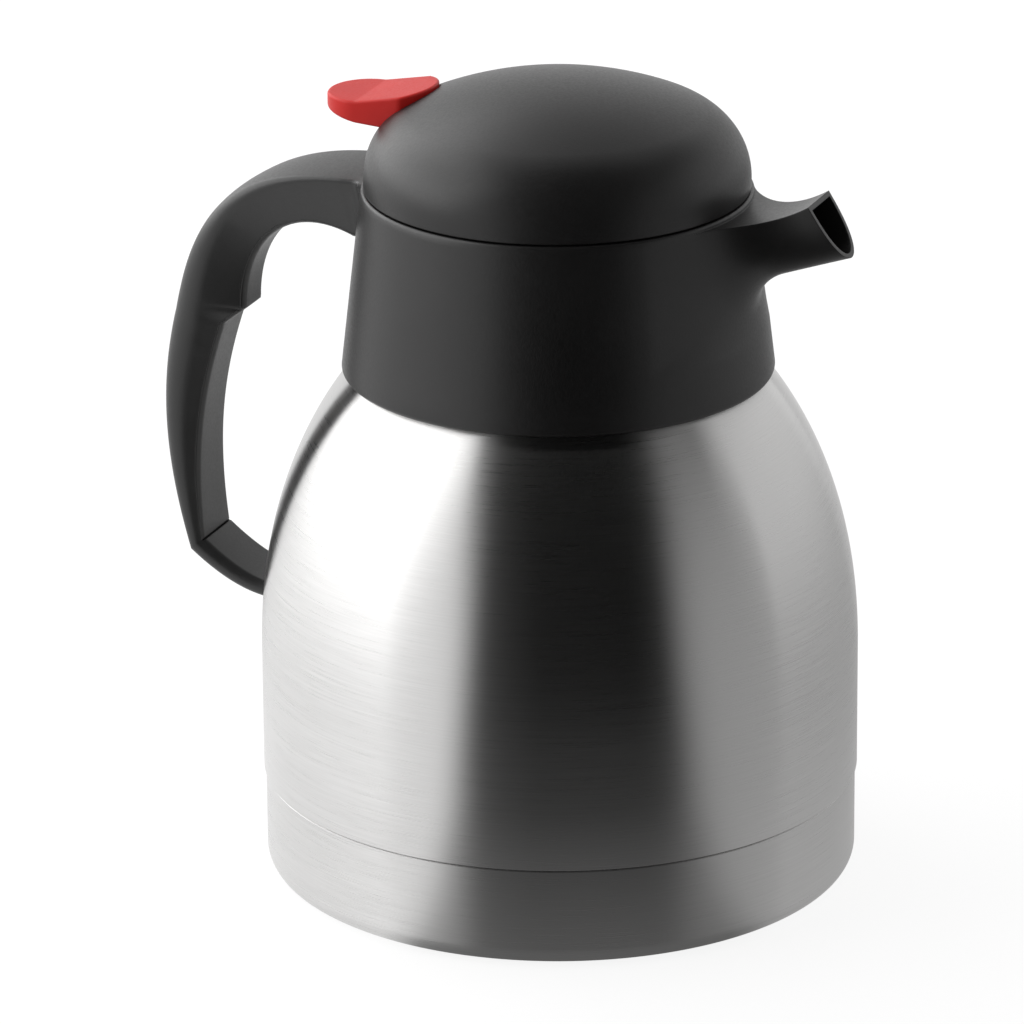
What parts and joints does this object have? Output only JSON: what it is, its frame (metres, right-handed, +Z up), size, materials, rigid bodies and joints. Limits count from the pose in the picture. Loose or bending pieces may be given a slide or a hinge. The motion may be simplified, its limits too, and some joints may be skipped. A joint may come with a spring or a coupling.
{
  "type": "thermal carafe",
  "caption": "Double-walled steel jug with a plastic collar, a short upward spout, a looped handle and a turn-off domed lid whose thumb lever opens a pour valve.",
  "frame": {"origin": "on the jug's axis, in the plane it stands on", "axes": "+Z up along the axis, +X towards the spout, the handle on the -X side"},
  "size_m": [0.1766, 0.145, 0.1978],
  "materials": {
    "shell_steel": "fine brushing round the body, satin",
    "cup_steel": "fine brushing round the cup, satin",
    "liner_steel": "plain drawn steel",
    "fastener_steel": "bright",
    "solder_bead": "dull",
    "getter_metal": "dull",
    "collar_plastic": "fine matte grain",
    "handle_plastic": "fine matte grain",
    "lid_plastic": "fine matte grain",
    "dark_plastic": "moulded",
    "lever_plastic": "satin red",
    "seal_rubber": "soft, translucent white"
  },
  "bodies": {
    "vessel": {"outer_shell": "shell_steel", "inner_vessel": "liner_steel", "bottom_pan": "liner_steel", "vacuum_seal": "solder_bead", "getter": "getter_metal", "base_cup": "cup_steel", "neck_ring": "dark_plastic", "neck_gasket": "seal_rubber", "collar": "collar_plastic", "handle_shell": "handle_plastic", "handle_strip": "handle_plastic", "handle_bracket": "liner_steel", "handle_screw": "fastener_steel"},
    "seal": {"lid_gasket": "seal_rubber"},
    "lid": {"lid_base": "dark_plastic", "lid_cover": "lid_plastic", "lid_screws": "fastener_steel", "lever_pin": "fastener_steel", "valve_spring": "fastener_steel"},
    "lever": {"lever": "lever_plastic"},
    "valve": {"valve_stem": "fastener_steel", "stem_cap": "dark_plastic", "valve_disc": "dark_plastic", "valve_gasket": "seal_rubber"}
  },
  "joints": [
    {"name": "lid_lift", "type": "slide", "parent": "vessel", "child": "seal", "axis": [0, 0, 1], "range_m": [0, 0.045]},
    {"name": "lid_turn", "type": "hinge", "parent": "seal", "child": "lid", "pos_m": [0, 0, 0.17164], "axis": [0, 0, 1], "range_deg": [0, 120]},
    {"name": "lever_press", "type": "hinge", "parent": "lid", "child": "lever", "pos_m": [-0.0332, 0, 0.18254], "axis": [0, -1, 0], "range_deg": [0, 9]},
    {"name": "valve_lift", "type": "slide", "parent": "lid", "child": "valve", "axis": [0, 0, 1], "range_m": [0, 0.0061], "stiffness_N_per_m": 20, "springref_m": -0.004, "deforming": ["valve_spring"]}
  ],
  "couplings": [
    {"joint": "lever_press", "follows": "valve_lift", "rad_per_m": 25.751}
  ]
}
